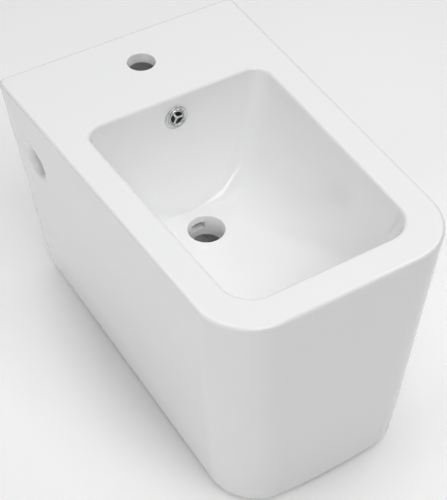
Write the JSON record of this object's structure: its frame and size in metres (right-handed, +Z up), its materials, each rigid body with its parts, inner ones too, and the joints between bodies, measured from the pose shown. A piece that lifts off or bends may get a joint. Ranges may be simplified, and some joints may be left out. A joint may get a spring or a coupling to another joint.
{
  "type": "wall-hung bidet",
  "caption": "Square-fronted wall-hung bidet with a flat rear deck, one tap hole, a deep soft-cornered basin, a chrome overflow ring and wall fixings.",
  "frame": {"origin": "on the wall plane, half way between the axes of the two wall studs", "axes": "+Z up, -Y out of the wall towards the front of the basin, +X to the right seen from the front"},
  "size_m": [0.3584, 0.6097, 0.37],
  "materials": {
    "white_glaze": "white gloss glaze",
    "chrome_trim": "bright chrome plating",
    "black_rubber": "matt rubber",
    "zinc_steel": "zinc plated",
    "white_plastic": "moulded"
  },
  "bodies": {
    "root": {"ceramic_body": "white_glaze", "overflow_ring": "chrome_trim", "overflow_insert": "chrome_trim", "overflow_sleeve": "black_rubber", "wall_stud_left": "zinc_steel", "wall_stud_right": "zinc_steel", "stud_sleeve_left": "white_plastic", "stud_sleeve_right": "white_plastic", "stud_washer_left": "zinc_steel", "stud_washer_right": "zinc_steel", "stud_nut_left": "zinc_steel", "stud_nut_right": "zinc_steel"}
  },
  "joints": []
}
